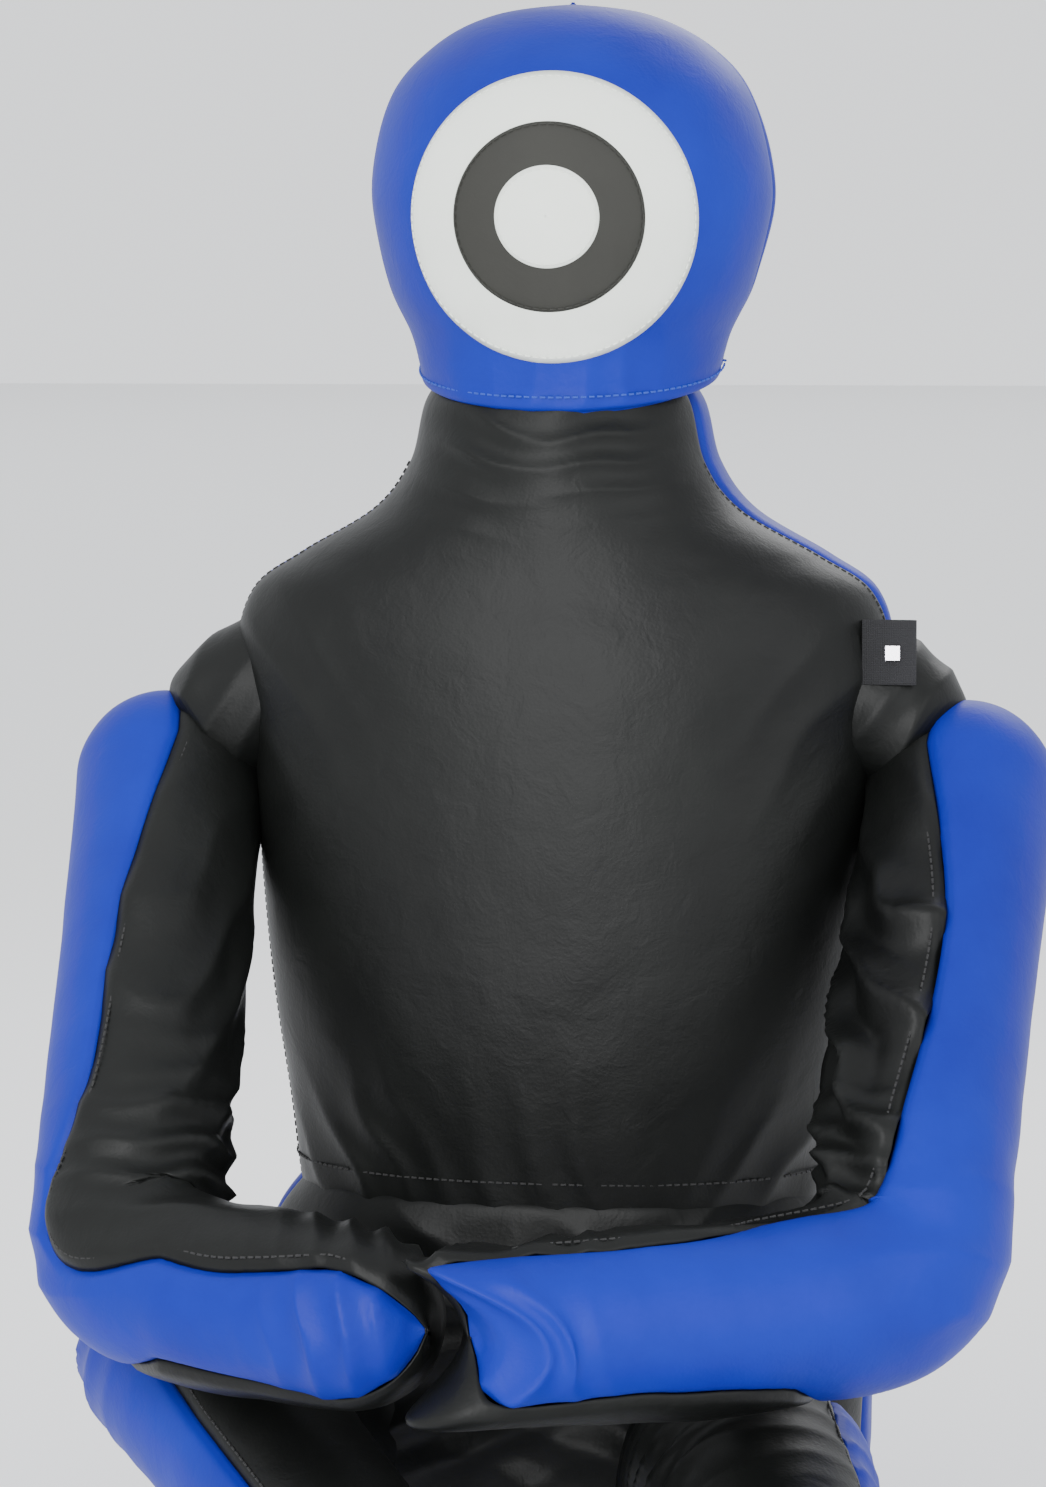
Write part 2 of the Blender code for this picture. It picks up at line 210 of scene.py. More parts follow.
# Name, place, aim, width and height, watts
LIGHTS = (
    ("key", (-1.0, -2.6, 2.2), (0, 0, 0.5), (1.4, 1.4), 34.0),
    ("fill", (1.8, -1.8, 1.3), (0, 0, 0.4), (1.2, 1.8), 16.0),
    ("front_strip", (-0.12, -2.6, 0.95), (0, 0, 0.4), (0.35, 1.7), 44.0),
    ("rim", (0.6, 1.8, 1.9), (0, 0, 0.6), (1.6, 1.0), 20.0),
)
ROOM_COLOUR = (0.95, 0.97, 1.0, 1.0)
ROOM_STRENGTH = 1.45
CAMERA_YAW = math.radians(7.3)
CAMERA_DISTANCE = 2.4
CAMERA_HEIGHT = 0.75
CAMERA_AIM = (-0.024, 0.0, 0.5026)
VIEW_HEIGHT = 0.8476
SENSOR = 36.0

# Gathered folds: centre, direction across the folds, spread, depth, spacing
TORSO_FOLDS = [
    ((-0.045, -0.088, 0.672), (0.25, 0, 1), 0.030, 0.0032, 0.020),
    ((0.040, -0.090, 0.684), (-0.1, 0, 1), 0.034, 0.0022, 0.017),
    ((0.0, -0.10, 0.262), (1, 0, 0.2), 0.05, 0.0012, 0.030),
    ((-0.11, -0.08, 0.270), (1, 0, 0.5), 0.045, 0.0018, 0.022),
    ((0.13, -0.05, 0.270), (1, 0, -0.5), 0.045, 0.0018, 0.022),
    ((0.15, -0.06, 0.52), (0.8, 0, -0.6), 0.05, 0.0010, 0.030),
    ((-0.15, -0.06, 0.54), (0.8, 0, 0.6), 0.05, 0.0010, 0.030),
]
HIP_FOLDS = [
    ((-0.08, -0.10, 0.212), (0.6, 0, 0.9), 0.034, 0.0034, 0.030),
    ((0.01, -0.10, 0.205), (1, 0, -0.3), 0.034, 0.0026, 0.036),
    ((0.09, -0.09, 0.208), (0.6, 0, -0.9), 0.034, 0.0034, 0.030),
    ((0.03, -0.10, 0.150), (0.5, 0, 0.9), 0.07, 0.0040, 0.034),
    ((-0.05, -0.10, 0.140), (0.5, 0, -0.9), 0.06, 0.0040, 0.030),
]
HOOD_FOLDS = [
    ((0.02, -0.09, 0.705), (1, 0, 0.1), 0.05, 0.0012, 0.024),
]


# ---------------------------------------------------------------- materials

def shader_of(name, colour, roughness):
    """A new material and its surface shader."""
    made = bpy.data.materials.new(name)
    made.use_nodes = True
    shader = made.node_tree.nodes["Principled BSDF"]
    shader.inputs["Base Color"].default_value = (*colour, 1.0)
    shader.inputs["Roughness"].default_value = roughness
    return made, shader


def add_node(made, kind, **values):
    """A node of a material, with its sockets set."""
    node = made.node_tree.nodes.new(kind)
    for key, value in values.items():
        node.inputs[key.replace("_", " ")].default_value = value
    return node


def leather(name, dark, light, roughness, grain, specular):
    """Smooth synthetic leather: pebble grain, fine creases, worn tone and uneven gloss."""
    made, shader = shader_of(name, dark, roughness)
    tree = made.node_tree
    place = tree.nodes.new("ShaderNodeTexCoord")
    cloud = add_node(made, "ShaderNodeTexNoise", Scale=7.0, Detail=6.0, Roughness=0.6)
    tone = tree.nodes.new("ShaderNodeValToRGB")
    tone.color_ramp.elements[0].position = 0.30
    tone.color_ramp.elements[0].color = (*dark, 1.0)
    tone.color_ramp.elements[1].position = 0.75
    tone.color_ramp.elements[1].color = (*light, 1.0)
    gloss = tree.nodes.new("ShaderNodeMapRange")
    gloss.inputs["To Min"].default_value = roughness - 0.07
    gloss.inputs["To Max"].default_value = roughness + 0.10
    pebble = add_node(made, "ShaderNodeTexVoronoi", Scale=520.0)
    crease = add_node(made, "ShaderNodeTexNoise", Scale=60.0, Detail=5.0, Roughness=0.55, Distortion=0.8)
    fine = add_node(made, "ShaderNodeBump", Strength=0.10 * grain, Distance=0.0006)
    broad = add_node(made, "ShaderNodeBump", Strength=0.22 * grain, Distance=0.0022)
    for texture in (cloud, pebble, crease):
        tree.links.new(place.outputs["Object"], texture.inputs["Vector"])
    tree.links.new(cloud.outputs["Fac"], tone.inputs["Fac"])
    tree.links.new(tone.outputs["Color"], shader.inputs["Base Color"])
    tree.links.new(cloud.outputs["Fac"], gloss.inputs["Value"])
    tree.links.new(gloss.outputs["Result"], shader.inputs["Roughness"])
    tree.links.new(crease.outputs["Fac"], broad.inputs["Height"])
    tree.links.new(broad.outputs["Normal"], fine.inputs["Normal"])
    tree.links.new(pebble.outputs["Distance"], fine.inputs["Height"])
    tree.links.new(fine.outputs["Normal"], shader.inputs["Normal"])
    shader.inputs["Specular IOR Level"].default_value = specular
    return made


def webbing_material(name, colour):
    """Woven tape: two crossed waves for the weave."""
    made, shader = shader_of(name, colour, 0.85)
    tree = made.node_tree
    place = tree.nodes.new("ShaderNodeTexCoord")
    warp = add_node(made, "ShaderNodeTexWave", Scale=320.0)
    weft = add_node(made, "ShaderNodeTexWave", Scale=320.0)
    weft.bands_direction = "Z"
    both = tree.nodes.new("ShaderNodeMath")
    both.operation = "ADD"
    bump = add_node(made, "ShaderNodeBump", Strength=0.5, Distance=0.0005)
    for wave in (warp, weft):
        tree.links.new(place.outputs["Object"], wave.inputs["Vector"])
    tree.links.new(warp.outputs["Fac"], both.inputs[0])
    tree.links.new(weft.outputs["Fac"], both.inputs[1])
    tree.links.new(both.outputs["Value"], bump.inputs["Height"])
    tree.links.new(bump.outputs["Normal"], shader.inputs["Normal"])
    return made


def metal_material(name, colour, roughness):
    """Bright metal with a finely uneven polish."""
    made, shader = shader_of(name, colour, roughness)
    tree = made.node_tree
    scratch = add_node(made, "ShaderNodeTexNoise", Scale=900.0, Detail=3.0)
    spread = tree.nodes.new("ShaderNodeMapRange")
    spread.inputs["To Min"].default_value = roughness
    spread.inputs["To Max"].default_value = roughness + 0.15
    tree.links.new(scratch.outputs["Fac"], spread.inputs["Value"])
    tree.links.new(spread.outputs["Result"], shader.inputs["Roughness"])
    shader.inputs["Metallic"].default_value = 1.0
    return made


# Leathers: darkest and lightest tone, roughness, grain, specular level
BLACK = leather("black_skin", (0.0022, 0.0024, 0.0024), (0.0070, 0.0078, 0.0070), 0.44, 1.0, 0.20)
BLUE = leather("blue_skin", (0.002, 0.008, 0.22), (0.005, 0.018, 0.31), 0.48, 0.9, 0.20)
WHITE = leather("white_skin", (0.74, 0.78, 0.71), (0.82, 0.86, 0.80), 0.60, 0.5, 0.3)
RING = leather("ring_skin", (0.022, 0.022, 0.019), (0.032, 0.032, 0.028), 0.62, 0.6, 0.25)
THREAD_BLACK = webbing_material("black_thread", (0.02, 0.02, 0.02))
THREAD_BLUE = webbing_material("blue_thread", (0.02, 0.06, 0.42))
WEBBING = webbing_material("woven_tape", (0.012, 0.012, 0.014))
ZIP_METAL = metal_material("nickel", (0.55, 0.55, 0.57), 0.28)
RIVET_METAL = metal_material("rivet_steel", (0.78, 0.74, 0.80), 0.22)


# ---------------------------------------------------------------- shape tools

def limited(value, low, high):
    """A value held between two limits."""
    return max(low, min(high, value))


def steps(first, length, count):
    """Even steps from a first value over a length, with both ends."""
    return [first + length * k / count for k in range(count + 1)]


def smooth_rows(rows, v):
    """A smooth value between the rows of a table, v from 0 at the first row to 1 at the last."""
    place = v * (len(rows) - 1)
    k = min(int(place), len(rows) - 2)
    t = place - k
    a, b, c, d = (np.array(rows[limited(k + s, 0, len(rows) - 1)], float) for s in (-1, 0, 1, 2))
    tangent_b = (c - a) / 2
    tangent_c = (d - b) / 2
    h = t * t * (3 - 2 * t)
    return (1 - h) * b + h * c + t * (1 - t) ** 2 * tangent_b - t * t * (1 - t) * tangent_c


def folds_at(point, folds):
    """How far a skin is drawn in or pushed out by its gathered folds."""
    total = 0.0
    for centre, across, spread, depth, spacing in folds:
        away = point - Vector(centre)
        weight = math.exp(-away.length_squared / (spread * spread))
        if weight < 0.02:
            continue
        bend = 2.2 * noise.noise(point * 24.0)
        phase = 2 * math.pi * away.dot(Vector(across).normalized()) / spacing + bend
        total += depth * weight * (1.0 - abs(math.sin(phase / 2)) * 2.0)
    return total


def undulation(point, amount):
    """The low lumps of packed filling under a skin, large ones with small ones over them."""
    return amount * (noise.noise(point * 11.0) + 0.45 * noise.noise(point * 31.0))


def new_piece(name, mesh, finish):
    """A visible piece from a mesh, in one material."""
    mesh.materials.append(finish)
    piece = bpy.data.objects.new(name, mesh)
    bpy.context.collection.objects.link(piece)
    return piece


def grid_piece(name, grid, finish, outward, thickness=SKIN, closed=False):
    """A panel of leather from rows of points, with a real thickness."""
    rows = len(grid)
    cols = len(grid[0])
    quads = cols if closed else cols - 1
    points = [tuple(p) for row in grid for p in row]
    faces = []
    for i in range(rows - 1):
        for j in range(quads):
            a = i * cols + j
            b = i * cols + (j + 1) % cols
            faces.append((a, b, b + cols, a + cols))
    mesh = bpy.data.meshes.new(name)
    mesh.from_pydata(points, [], faces)
    middle = mesh.polygons[(rows // 2) * quads + cols // 2]
    if middle.normal.dot(outward) < 0:
        mesh.flip_normals()
    mesh.shade_smooth()
    piece = new_piece(name, mesh, finish)
    shell = piece.modifiers.new("Leather thickness", "SOLIDIFY")
    shell.thickness = thickness
    shell.offset = -1.0
    return piece


def seam_profile(edge):
    """A panel is drawn in at its seam and swells away from it."""
    return PUFF * (1 - math.exp(-edge / PUFF_REACH)) - SEAM_DIP * math.exp(-((edge / SEAM_WIDTH) ** 2))


def panel(name, kind, surface, spans, finish, folds=()):
    """One panel of a kind in PANELS.

    surface(v, angle) gives a point, its outward direction and the radius there.
    spans(v) gives the panel's first and last angle.
    """
    rows, cols, lumps = PANELS[kind]
    grid = []
    for i in range(rows):
        v = i / (rows - 1)
        first, last = spans(v)
        row = []
        for j in range(cols):
            u = j / (cols - 1)
            u -= EDGE_CROWDING * math.sin(2 * math.pi * u) / (2 * math.pi)
            point, out, radius = surface(v, first + (last - first) * u)
            edge = min(u, 1 - u) * abs(last - first) * radius
            offset = seam_profile(edge) + folds_at(point, folds) + undulation(point, lumps)
            row.append(point + out * offset)
        grid.append(row)
    middle_v = (rows // 2) / (rows - 1)
    first, last = spans(middle_v)
    return grid_piece(name, grid, finish, surface(middle_v, (first + last) / 2)[1])


def stitches(name, path, finish, body=None, radius=THREAD_RADIUS):
    """A row of thread along a seam, one short bar for each stitch, all in one mesh."""
    shape = bmesh.new()
    travelled = [0.0]
    for a, b in zip(path, path[1:]):
        travelled.append(travelled[-1] + (b - a).length)
    count = int(travelled[-1] / STITCH)
    for k in range(count):
        start = travelled[-1] * k / count
        i = next((n for n in range(1, len(travelled)) if travelled[n] >= start), len(travelled) - 1)
        span = max(travelled[i] - travelled[i - 1], 1e-6)
        here = path[i - 1].lerp(path[i], (start - travelled[i - 1]) / span)
        along = path[i] - path[i - 1]
        if along.length < 1e-6:
            continue
        turn = along.to_track_quat("Z", "Y").to_matrix().to_4x4()
        bmesh.ops.create_cone(shape, cap_ends=True, segments=6, radius1=radius, radius2=radius * 0.8,
                              depth=STITCH * STITCH_SHARE, matrix=Matrix.Translation(here) @ turn)
    mesh = bpy.data.meshes.new(name)
    shape.to_mesh(mesh)
    shape.free()
    piece = new_piece(name, mesh, finish)
    if body:
        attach(piece, body)
    return piece


def flatten_on_floor(piece):
    """The leather spreads flat where it rests."""
    for vertex in piece.data.vertices:
        vertex.co.z = max(vertex.co.z, FLOOR_CLEAR)


# ---------------------------------------------------------------- trunk

def trunk_surface(rows):
    """A rounded trunk through a table of heights, widths, depths and roundness."""
    def surface(v, angle):
        height, width, front, back, power = smooth_rows(rows, v)
        c, s = math.cos(angle), math.sin(angle)
        depth = back if s > 0 else front
        x = math.copysign(abs(c) ** (2 / power), c) * width
        y = math.copysign(abs(s) ** (2 / power), s) * depth
        out = Vector((c / width, s / depth, 0.0)).normalized()
        return Vector((x, y, height)), out, (width + depth) / 2
    return surface


def back_wrap(v, side):
    """How far the blue back comes round to the front, most beside the neck."""
    neck = limited((v - NECK_WRAP_START) / NECK_WRAP_LENGTH, 0.0, 1.0)
    return math.radians(BACK_WRAP + NECK_WRAP[side] * neck)


def build_torso():
    """The black front, up into the neck, and the blue back, with their seams."""
    surface = trunk_surface(TORSO)
    front = panel("torso_front_skin", "torso_front", surface,
                  lambda v: (math.pi + back_wrap(v, -1), 2 * math.pi - back_wrap(v, 1)), BLACK, TORSO_FOLDS)
    back = panel("torso_back_skin", "torso_back", surface,
                 lambda v: (-back_wrap(v, 1), math.pi + back_wrap(v, -1)), BLUE)
    for piece in (front, back):
        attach(piece, "torso")
    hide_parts("torso_front_panel", "torso_stuffing", "neck_stuffing")
    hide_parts("torso_back_panel")
    for suffix, sign in reversed(SIDES):
        path = []
        for v in steps(0.06, 0.78, 260):
            turn = back_wrap(v, sign) + math.radians(SEAM_INSET_DEGREES)
            point, out, _ = surface(v, -turn if sign > 0 else math.pi + turn)
            path.append(point + out * THREAD_LIFT["torso"])
        row = stitches(f"torso_side_stitches_{suffix}", path, THREAD_BLACK, "torso")
    ring = [surface(WAIST_SEAM_SHARE, angle) for angle in steps(0.0, 2 * math.pi, 300)]
    path = [point + out * THREAD_LIFT["waist"] for point, out, _ in ring]
    row = stitches("waist_stitches", path, THREAD_BLACK, "torso")


def build_hips():
    """The black lap and the blue seat."""
    surface = trunk_surface(PELVIS)
    front = panel("hip_front_skin", "hip_front", surface,
                  lambda v: (math.pi + HIP_WRAP, 2 * math.pi - HIP_WRAP), BLACK, HIP_FOLDS)
    back = panel("hip_back_skin", "hip_back", surface, lambda v: (-HIP_WRAP, math.pi + HIP_WRAP), BLUE)
    for piece in (front, back):
        flatten_on_floor(piece)
        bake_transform(piece)
    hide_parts("pelvis_front_panel", "pelvis_stuffing")
    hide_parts("pelvis_back_panel")


# ---------------------------------------------------------------- head

def head_surface(v, angle):
    """The hood, from its rim at v 0 to the crown at v 1, with the rim lower at the chin."""
    radius, height = smooth_rows(HEAD, v)
    forward = max(0.0, -math.sin(angle))
    height -= CHIN_DROP * forward ** CHIN_ROUNDNESS * (1 - v) ** CHIN_FADE
    out = Vector((math.cos(angle), math.sin(angle), 0.0))
    return Vector((radius * math.cos(angle) + HEAD_SET, radius * math.sin(angle), height)), out, radius


def build_head():
    """The hood in two halves that meet over the crown, and the sewn-on target."""
    front = panel("hood_front", "hood", head_surface, lambda v: (math.pi, 2 * math.pi), BLUE, HOOD_FOLDS)
    back = panel("hood_back", "hood", head_surface, lambda v: (0.0, math.pi), BLUE)
    for piece in (front, back):
        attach(piece, "head")
    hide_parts("head_cover")
    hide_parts("head_stuffing")
    rim = [head_surface(HOOD_RIM_SHARE, angle) for angle in steps(0.0, 2 * math.pi, 260)]
    path = [point + out * THREAD_LIFT["hood"] for point, out, _ in rim]
    row = stitches("hood_rim_stitches", path, THREAD_BLUE, "head")
    build_target(front)


def from_head_axis(point, distance):
    """A point moved straight out from the head's upright axis."""
    return point + Vector((point.x - HEAD_SET, point.y, 0)).normalized() * distance


def build_target(hood):
    """Three discs that follow the hood, each with its turned edge and its row of stitches."""
    mesh = hood.data
    tree = BVHTree.FromPolygons([v.co for v in mesh.vertices], [tuple(p.vertices) for p in mesh.polygons])

    def on_hood(radius, angle):
        x = radius * math.cos(angle) + HEAD_SET
        z = TARGET_Z + radius * math.sin(angle)
        hit = tree.ray_cast(Vector((x, IN_FRONT_Y, z)), Vector((0, 1, 0)))[0]
        return hit if hit else Vector((x, FACE_Y, z))

    discs = (
        ("target_outer", OUTER_RADIUS, OUTER_LIFT, WHITE, "target_white"),
        ("target_ring", RING_RADIUS, RING_LIFT, RING, "target_black"),
        ("target_centre", CENTRE_RADIUS, CENTRE_LIFT, WHITE, "target_white"),
    )
    for node, rim, lift, finish, slot in discs:
        grid = []
        for radius in steps(DISC_PINHOLE, rim - DISC_PINHOLE, DISC_RINGS):
            height = lift - DISC_EDGE_DROP * math.exp(-(rim - radius) / DISC_EDGE_REACH)
            angles = steps(0.0, 2 * math.pi, DISC_SEGMENTS)[:-1]
            grid.append([from_head_axis(on_hood(radius, angle), height) for angle in angles])
        disc = grid_piece(f"{node}_disc", grid, finish, Vector((0, -1, 0)), DISC_THICKNESS, closed=True)
        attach(disc, "head")
        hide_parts(node)
        path = [on_hood(rim - DISC_STITCH_INSET, angle) for angle in steps(0.0, 2 * math.pi, 200)]
        path = [from_head_axis(point, lift) for point in path]
        row = stitches(f"{node}_stitches", path, finish, "head", FINE_THREAD_RADIUS)


# ---------------------------------------------------------------- limbs

def limb_line(knots, count):
    """A smooth centre line through the knots: place, radius, inner direction and cover angle at each step."""
    rows = [(*place, radius, *inward, cover) for place, radius, inward, cover in knots]
    return [smooth_rows(rows, k / (count - 1)) for k in range(count)]


def limb_surface(knots, count=160):
    """A stuffed tube with rounded ends, and the angles its inner and outer panels span."""
    line = limb_line(knots, count)
    centres = [Vector(row[:3]) for row in line]
    length = sum((b - a).length for a, b in zip(centres, centres[1:]))
    root = line[0][3]
    tip = line[-1][3]
    whole = root + length + tip

    def sample(v):
        """Centre, radius, direction, inner direction and cover angle at a share of the whole length."""
        along = v * whole
        radius = None
        shift = 0.0
        if along < root:
            swing = math.acos(limited(1 - along / root, -1.0, 1.0))
            share = 0.0
            radius = root * max(math.sin(swing), END_CLOSURE)
            shift = -root * math.cos(swing)
        elif along > root + length:
            swing = math.asin(limited((along - root - length) / tip, -1.0, 1.0))
            share = 1.0
            radius = tip * max(math.cos(swing), END_CLOSURE)
            shift = tip * math.sin(swing)
        else:
            share = (along - root) / length
        place = share * (count - 1)
        k = min(int(place), count - 2)
        t = place - k
        row = line[k] * (1 - t) + line[k + 1] * t
        direction = (centres[k + 1] - centres[k]).normalized()
        if radius is None:
            radius = row[3]
        inward = Vector(row[4:7])
        inward = (inward - direction * inward.dot(direction)).normalized()
        return Vector(row[:3]) + direction * shift, radius, direction, inward, row[7]

    def surface(v, angle):
        centre, radius, direction, inward, _ = sample(v)
        side = direction.cross(inward)
        out = inward * math.cos(angle) + side * math.sin(angle)
        return centre + out * radius, out, radius

    def inner_span(v):
        cover = math.radians(sample(v)[4])
        return -cover, cover

    def outer_span(v):
        cover = math.radians(sample(v)[4])
        return cover, 2 * math.pi - cover

    return surface, inner_span, outer_span


def limb_skins(name, parts, suffix, knots, bend, inner_folds, outer_folds):
    """A limb's inner and outer panels, sewn along two seams."""
    surface, inner_span, outer_span = limb_surface(knots)
    inner = panel(f"{name}_inner_skin_{suffix}", "limb_inner", surface, inner_span, BLACK, inner_folds)
    outer = panel(f"{name}_outer_skin_{suffix}", "limb_outer", surface, outer_span, BLUE, outer_folds)
    rows = []
    for edge, way in (("a", 1), ("b", -1)):
        path = []
        for v in steps(0.05, 0.90, 240):
            point, out, _ = surface(v, way * (inner_span(v)[1] - LIMB_STITCH_INSET))
            path.append(point + out * THREAD_LIFT["limb"])
        rows.append(stitches(f"{name}_seam_stitches_{edge}_{suffix}", path, THREAD_BLACK))
    for piece in (inner, outer):
        flatten_on_floor(piece)
    for piece in (inner, outer, *rows):
        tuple(bend[0])
        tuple(bend[1])
        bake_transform(piece)
    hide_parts(*[f"{part}_inner_panel_{suffix}" for part in parts])
    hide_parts(*[f"{part}_outer_panel_{suffix}" for part in parts])
    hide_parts(*[f"{part}_stuffing_{suffix}" for part in parts])
    return inner, outer


def around(place, before, after):
    """Start and end of a bend at a joint, along the line from one side to the other."""
    line = (Vector(after) - Vector(before)).normalized()
    return tuple(place - line * BEND_REACH), tuple(place + line * BEND_REACH)


def arm_knots(suffix, sign, shoulder, elbow, hand):
    """An arm's centre line, with the inner panel facing the body, then the elbow's crook, then back to it."""
    places = (
        shoulder + Vector((0, 0.002, 0.004)),
        shoulder.lerp(elbow, 0.35) + Vector((-sign * 0.001, 0, 0)),
        shoulder.lerp(elbow, 0.72),
        elbow + Vector((-sign * 0.003, 0.012, 0.012)),
        elbow.lerp(hand, 0.38),
        elbow.lerp(hand, 0.72),
        hand,
    )
    body_side = Vector((-sign, -0.30, 0.1))
    crook_side = Vector((-sign * 0.7, 0.3, 0.6))
    chest_side = Vector((0.0, 1.0, HAND_LEAN[suffix]))
    sides = (body_side, body_side, body_side, crook_side, chest_side, chest_side, chest_side)
    return list(zip(places, ARM_RADII, sides, ARM_COVERS[suffix]))


def arm_folds(suffix, sign, shoulder, elbow, hand):
    """The gathers of an arm's inner and outer panels."""
    crook = elbow + Vector((-sign * 0.045, 0.03, 0.045))
    middle = shoulder.lerp(elbow, 0.5) + Vector((-sign * 0.03, -0.03, 0))
    palm = hand + Vector((-sign * 0.01, 0.02, 0.03))
    elbow_point = elbow + Vector((sign * 0.04, -0.02, 0.03))
    knuckles = hand + Vector((0, -0.04, 0))
    inner = [
        (crook, (0, 0.3, 1), 0.055, 0.0045, 0.020),
        (middle, (0, -0.5, 1), 0.12, ARM_FOLD_DEPTH[suffix], 0.026),
        (palm, (1, 0.2, 0), 0.04, 0.0030, 0.018),
    ]
    outer = [
        (elbow_point, (0, 0.2, 1), 0.05, 0.0016, 0.034),
        (knuckles, (1, 0, 0.2), 0.035, 0.0026, 0.020),
    ]
    return inner, outer


def shape_hand_end(skin, elbow, hand):
    """The left hand's end is hollowed in the middle, with a soft ear above and below."""
    along = (hand - elbow).normalized()
    for vertex in skin.data.vertices:
        ahead = (vertex.co - hand).dot(along)
        share = limited((ahead + HAND_EAR) / (2 * HAND_EAR), 0.0, 1.0)
        height = limited((vertex.co.z - hand.z) / HAND_RADIUS, -1.0, 1.0)
        push = EAR_REACH * height * height - EAR_HOLLOW * (1 - height * height)
        vertex.co += along * push * share * share * (3 - 2 * share)


def build_arms():
    """Both arms, each one stuffed skin from the shoulder to the hand."""
    for suffix, sign in SIDES:
        shoulder = joint_place(f"shoulder_{suffix}")
        elbow = joint_place(f"elbow_{suffix}")
        hand = HANDS[suffix]
        knots = arm_knots(suffix, sign, shoulder, elbow, hand)
        inner_folds, outer_folds = arm_folds(suffix, sign, shoulder, elbow, hand)
        bend = around(elbow, shoulder, hand)
        skins = limb_skins("arm", ("upper_arm", "forearm"), suffix, knots, bend, inner_folds, outer_folds)
        if suffix == "l":
            for skin in skins:
                shape_hand_end(skin, elbow, hand)


def leg_knots(sign, hip, knee, foot):
    """A leg's centre line, with the inner panel facing up and to the other leg."""
    places = (
        hip,
        hip.lerp(knee, 0.5),
        knee + (hip - knee).normalized() * KNEE_SET_BACK,
        knee.lerp(foot, 0.30),
        knee.lerp(foot, 0.70),
        foot,
    )
    thigh_side = Vector((-sign * 0.8, 0.1, 0.7))
    shin_side = Vector((-sign * 0.6, 0.2, 0.8))
    sides = (thigh_side, thigh_side, thigh_side, shin_side, shin_side, shin_side)
    return list(zip(places, LEG_RADII, sides, LEG_COVERS))


def leg_folds(sign, hip, knee, foot):
    """The gathers of a leg's inner and outer panels."""
    along_shin = (knee - foot).normalized()
    lap = hip + Vector((0, -0.09, 0.07))
    inner = [
        (knee + Vector((-sign * 0.04, 0, 0.02)), along_shin, 0.06, 0.0045, 0.022),
        (lap, (0.4, -1, 0.2), 0.05, 0.0040, 0.022),
    ]
    outer = [
        (knee + Vector((sign * 0.04, 0, 0)), along_shin, 0.05, 0.0020, 0.026),
    ]
    return inner, outer


def build_legs():
    """Both legs, the right one splayed with its shin across the front."""
    for suffix, sign in SIDES:
        hip = joint_place(f"hip_{suffix}")
        knee = joint_place(f"knee_{suffix}")
        foot = FEET[suffix]
        knots = leg_knots(sign, hip, knee, foot)
        inner_folds, outer_folds = leg_folds(sign, hip, knee, foot)
        bend = around(knee, hip, foot)
        limb_skins("leg", ("thigh", "shin"), suffix, knots, bend, inner_folds, outer_folds)


def build_shoulders():
    """The black yoke that carries each arm: a short stuffed sleeve from the trunk to the arm's top."""
    front = Vector((0, -1, 0.2))
    for suffix, sign in SIDES:
        shoulder = joint_place(f"shoulder_{suffix}")
        root = Vector((sign * YOKE_ROOT[0], YOKE_ROOT[1], YOKE_ROOT[2]))
        places = (
            root,
            root.lerp(shoulder, 0.4) + Vector((0, 0, 0.010)),
            root.lerp(shoulder, 0.72) + Vector((0, 0, 0.016)),
            shoulder + Vector((-sign * 0.012, 0, 0.029)),
        )
        knots = [(place, radius, front, YOKE_COVER) for place, radius in zip(places, YOKE_RADII)]
        surface = limb_surface(knots, 60)[0]
        top = shoulder + Vector((-sign * 0.03, 0, 0.04))
        folds = [(top, (1, 0, -0.6), 0.05, 0.0020, 0.022)]
        yoke = panel(f"shoulder_yoke_{suffix}", "yoke", surface, lambda v: (-math.pi, math.pi), BLACK, folds)
        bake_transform(yoke)


# ---------------------------------------------------------------- fittings

def build_zip():
    """Zip teeth down the tape, in two staggered columns, and a row of stitches on each side."""
    low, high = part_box("zip_tape")
    face_y = high[1]
    bottom = low[2]
    top = high[2]
    teeth = bmesh.new()
    for k in range(int((top - bottom) / TOOTH_PITCH) - 1):
        shift = TOOTH_SHIFT if k % 2 else -TOOTH_SHIFT
        place = Matrix.Translation((shift, face_y + TOOTH_LIFT, top - TOOTH_PITCH * (k + 1)))
        made = bmesh.ops.create_cube(teeth, size=1.0, matrix=place @ Matrix.Diagonal((*TOOTH_SIZE, 1)))
        edges = list({edge for vertex in made["verts"] for edge in vertex.link_edges})
        bmesh.ops.bevel(teeth, geom=edges, offset=TOOTH_BEVEL, segments=1, affect="EDGES")
    mesh = bpy.data.meshes.new("zip_teeth")
    teeth.to_mesh(mesh)
    teeth.free()
    piece = new_piece("zip_teeth", mesh, ZIP_METAL)
    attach(piece, "torso")
    heights = steps(bottom + ZIP_STITCH_END, top - bottom - 2 * ZIP_STITCH_END, 60)
    for suffix, sign in SIDES:
        path = [Vector((sign * ZIP_STITCH_X, face_y + ZIP_STITCH_LIFT, height)) for height in heights]
        row = stitches(f"zip_stitches_{suffix}", path, THREAD_BLACK, "torso")


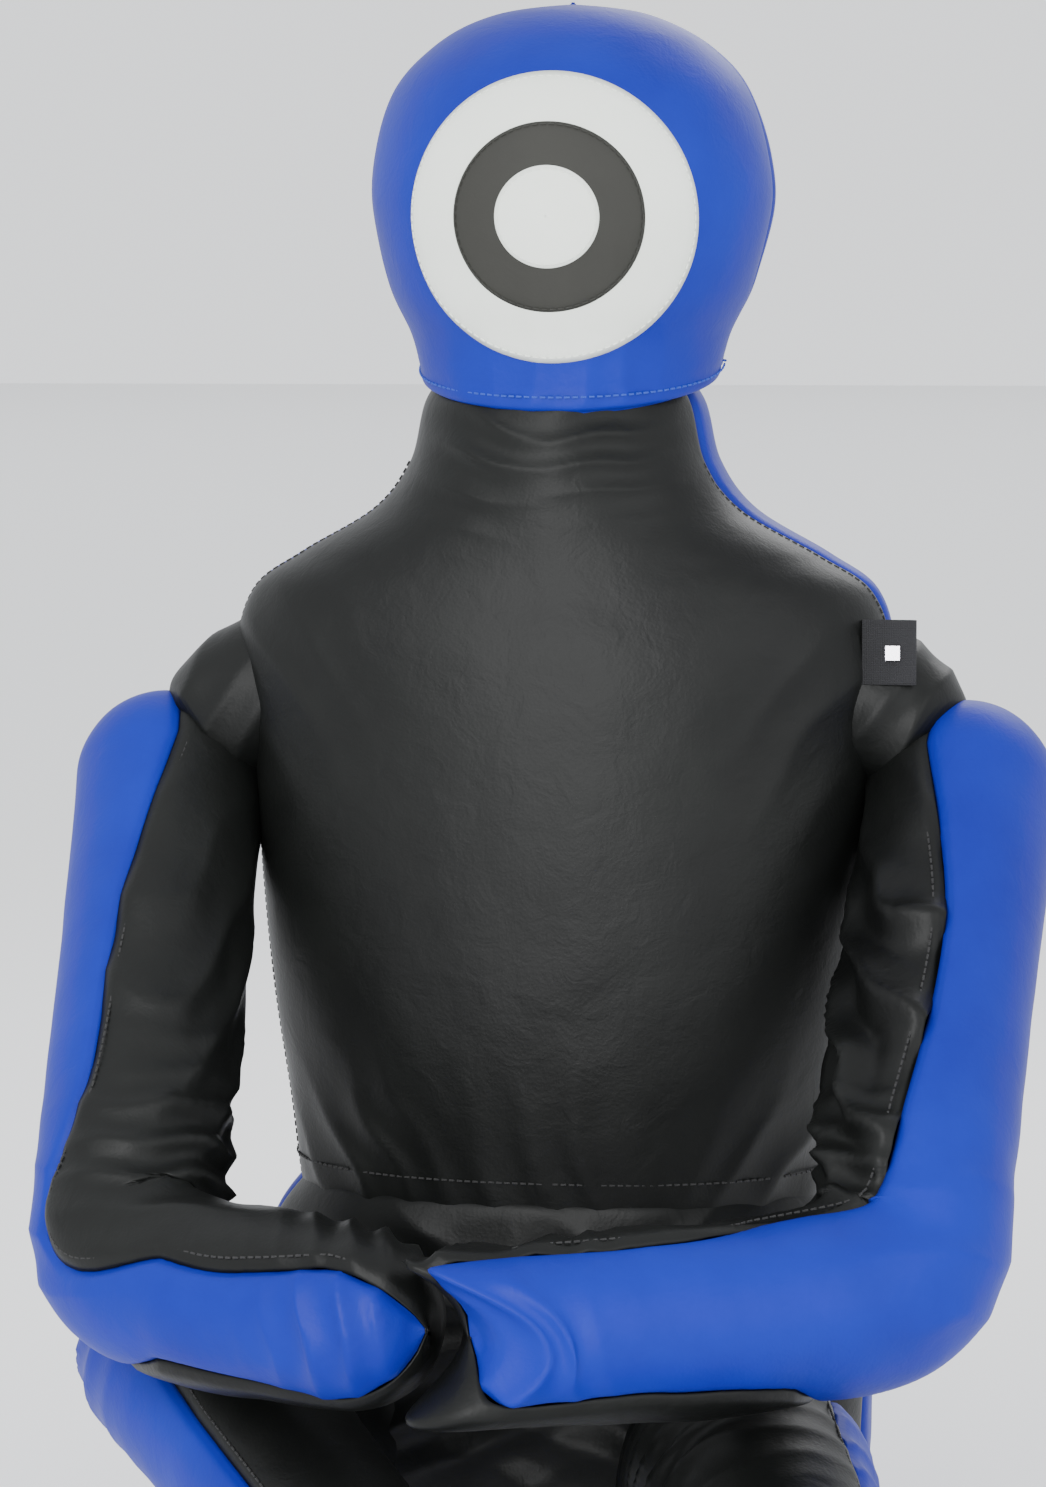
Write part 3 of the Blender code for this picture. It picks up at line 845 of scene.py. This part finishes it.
def build_tab():
    """The folded webbing tab: two layers with a rounded fold at the outer end."""
    low, high = (Vector(corner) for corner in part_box("shoulder_tab"))
    middle_y = ((low + high) / 2).y
    half = (high.y - low.y) / 2
    fold = []
    for angle in steps(math.pi / 2, -math.pi, TAB_STEPS):
        fold.append((high.x - half + half * math.cos(angle), middle_y + half * math.sin(angle)))
    sewn_x = low.x - TAB_SEWN_IN
    outline = [(sewn_x, middle_y + half), *fold, (sewn_x, middle_y - half)]
    grid = []
    for z in steps(low.z, high.z - low.z, TAB_STEPS):
        grid.append([Vector((x, y, z)) for x, y in outline])
    tab = grid_piece("shoulder_tab_webbing", grid, WEBBING, Vector((1, 0, 0)), TAB_THICKNESS)
    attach(tab, "torso")
    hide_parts("shoulder_tab")


def finish_cad_nodes():
    """The small fittings keep their CAD shape and get a real material."""
    finishes = {"zip_tape": WEBBING, "zip_slider": ZIP_METAL, "zip_pull": ZIP_METAL, "tab_rivet": RIVET_METAL}
    for node, finish in finishes.items():
        piece = frame["nodes"][node]
        for place in piece.material_slots:
            place.material = finish


# ---------------------------------------------------------------- room

def light(name, place, aim, size, power):
    """A soft rectangular lamp."""
    lamp = bpy.data.lights.new(name, "AREA")
    lamp.shape = "RECTANGLE"
    lamp.size, lamp.size_y = size
    lamp.energy = power
    holder = bpy.data.objects.new(name, lamp)
    holder.location = place
    holder.rotation_euler = (Vector(aim) - Vector(place)).to_track_quat("-Z", "Y").to_euler()
    bpy.context.collection.objects.link(holder)


def build_room():
    """A pale floor, soft lights and a bright even room."""
    reach = (-FLOOR_SIDE, 0.0, FLOOR_SIDE)
    grid = [[Vector((x, y, FLOOR_TOP)) for x in reach] for y in reach]
    finish = shader_of("pale_floor", (0.95, 0.95, 0.95), 0.9)[0]
    floor = grid_piece("floor", grid, finish, Vector((0, 0, 1)), FLOOR_THICKNESS)
    for lamp in LIGHTS:
        light(*lamp)
    world = bpy.data.worlds.new("room")
    world.use_nodes = True
    background = world.node_tree.nodes["Background"]
    background.inputs["Color"].default_value = ROOM_COLOUR
    background.inputs["Strength"].default_value = ROOM_STRENGTH
    bpy.context.scene.world = world


def build_camera():
    """A camera a little to the dummy's own left, above its middle."""
    lens = bpy.data.cameras.new("camera")
    lens.sensor_fit = "VERTICAL"
    lens.sensor_height = SENSOR
    lens.lens = SENSOR * CAMERA_DISTANCE / VIEW_HEIGHT
    camera = bpy.data.objects.new("camera", lens)
    x = CAMERA_DISTANCE * math.sin(CAMERA_YAW)
    y = -CAMERA_DISTANCE * math.cos(CAMERA_YAW)
    camera.location = (x, y, CAMERA_HEIGHT)
    aim = Vector(CAMERA_AIM) - camera.location
    camera.rotation_euler = aim.to_track_quat("-Z", "Y").to_euler()
    bpy.context.collection.objects.link(camera)
    bpy.context.scene.camera = camera


build_camera()
build_torso()
build_hips()
build_head()
build_arms()
build_legs()
build_shoulders()
build_zip()
build_tab()
finish_cad_nodes()
build_room()
